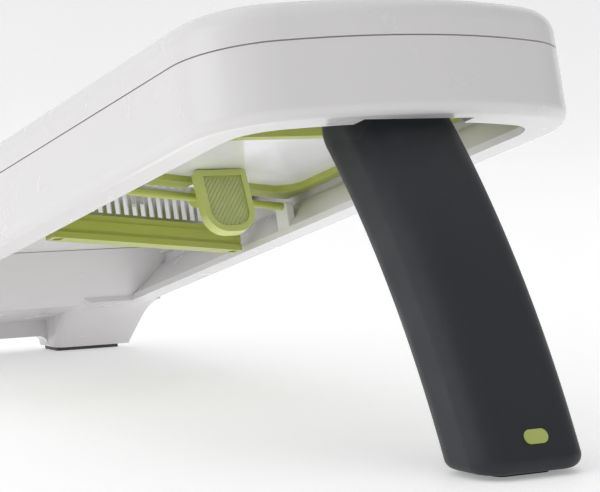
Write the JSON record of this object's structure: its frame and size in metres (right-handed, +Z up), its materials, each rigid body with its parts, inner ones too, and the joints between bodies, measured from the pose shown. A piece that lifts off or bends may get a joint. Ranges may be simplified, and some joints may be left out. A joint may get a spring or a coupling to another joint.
{
  "type": "mandoline slicer",
  "caption": "Hand-held mandoline slicer with a diagonal blade, an adjustable ramp, a julienne comb and a folding stand leg.",
  "frame": {"origin": "centre of the bounding box, on the floor the leg and far feet stand on", "axes": "+Y along the slicer from the leg end to the far feet, +Z up, +X to the right as seen from the leg end"},
  "size_m": [0.14, 0.4461, 0.1418],
  "materials": {
    "white_gloss": "glossy",
    "deck_white": "satin",
    "white_inner": "satin",
    "pad_grey": "matte",
    "steel": "satin",
    "blade_steel": "brushed",
    "ramp_steel": "brushed",
    "charcoal_core": "matte",
    "charcoal_grip": "soft touch",
    "lime_pill": "satin",
    "sole_rubber": "matte",
    "green_plastic": "satin",
    "lever_green": "satin",
    "panel_pale": "glossy"
  },
  "bodies": {
    "base": {"lower_body": "white_gloss", "top_cover": "white_gloss", "landing_deck": "deck_white", "cover_screws": "steel", "left_foot_pad": "pad_grey", "right_foot_pad": "pad_grey", "leg_bracket": "white_inner", "bracket_screws": "steel", "leg_detent_spring": "steel", "main_blade": "blade_steel", "blade_screws": "steel", "shaft_saddle_left": "white_inner", "shaft_saddle_right": "white_inner", "comb_guide_left": "white_inner", "comb_guide_right": "white_inner"},
    "leg": {"leg_core": "charcoal_core", "leg_grip": "charcoal_grip", "leg_pill": "lime_pill", "leg_sole": "sole_rubber", "leg_pin": "steel"},
    "ramp": {"ramp_frame": "green_plastic", "ramp_panel": "panel_pale", "ramp_plate": "ramp_steel", "ramp_hinge_rod": "steel"},
    "lever": {"control_shaft": "green_plastic", "cam_left": "green_plastic", "cam_right": "green_plastic", "thickness_lever": "lever_green"},
    "comb": {"comb_bar": "green_plastic", "julienne_comb": "blade_steel"}
  },
  "joints": [
    {"name": "leg_fold", "type": "hinge", "parent": "base", "child": "leg", "pos_m": [0, -0.14096, 0.10227], "axis": [1, 0, 0], "range_deg": [0, 102]},
    {"name": "lever_turn", "type": "hinge", "parent": "base", "child": "lever", "pos_m": [0, -0.00075, 0.07648], "axis": [0.9063, 0.4103, -0.1014], "range_deg": [0, 88]},
    {"name": "ramp_tilt", "type": "hinge", "parent": "base", "child": "ramp", "pos_m": [0, -0.11596, 0.11257], "axis": [1, 0, 0], "range_deg": [-0.72, 0]},
    {"name": "comb_slide", "type": "slide", "parent": "base", "child": "comb", "axis": [0, 0.2399, 0.9708], "range_m": [-0.006, 0]}
  ],
  "couplings": [
    {"joint": "ramp_tilt", "follows": "lever_turn", "ratio": -0.0081}
  ]
}
